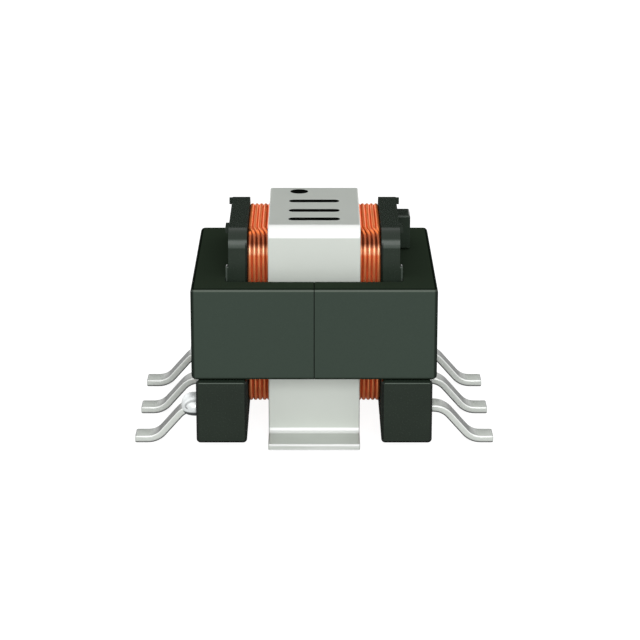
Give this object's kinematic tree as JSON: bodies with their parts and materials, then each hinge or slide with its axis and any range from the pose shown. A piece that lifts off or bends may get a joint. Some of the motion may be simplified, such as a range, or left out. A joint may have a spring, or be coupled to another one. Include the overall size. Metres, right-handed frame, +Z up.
{
  "type": "current sense transformer",
  "caption": "Surface-mount current sense transformer: ferrite core, copper winding on a bobbin with formed leads, and a wide tinned strap over the winding as its primary.",
  "frame": {"origin": "on the circuit board, under the middle of the part's bounding box", "axes": "+X runs from the left row of leads, which carries the wire ends, to the right row; +Y from the front foot of the strap to the rear one; +Z is up from the board"},
  "size_m": [0.0078, 0.0054, 0.0048],
  "materials": {
    "ferrite": "satin",
    "adhesive": "gloss",
    "bobbin_plastic": "satin",
    "tinned_strip": "satin",
    "tinned_lead": "satin",
    "enamelled_wire": "gloss",
    "solder": "polished",
    "marking_ink": "matte"
  },
  "bodies": {
    "root": {"core_half_left": "ferrite", "core_half_right": "ferrite", "adhesive_film_front": "adhesive", "adhesive_film_rear": "adhesive", "bobbin": "bobbin_plastic", "primary_strap": "tinned_strip", "secondary_winding": "enamelled_wire", "solder_joint_front": "solder", "solder_joint_rear": "solder", "lead_left_front": "tinned_lead", "lead_left_middle": "tinned_lead", "lead_left_rear": "tinned_lead", "lead_right_front": "tinned_lead", "lead_right_middle": "tinned_lead", "lead_right_rear": "tinned_lead"}
  },
  "joints": []
}
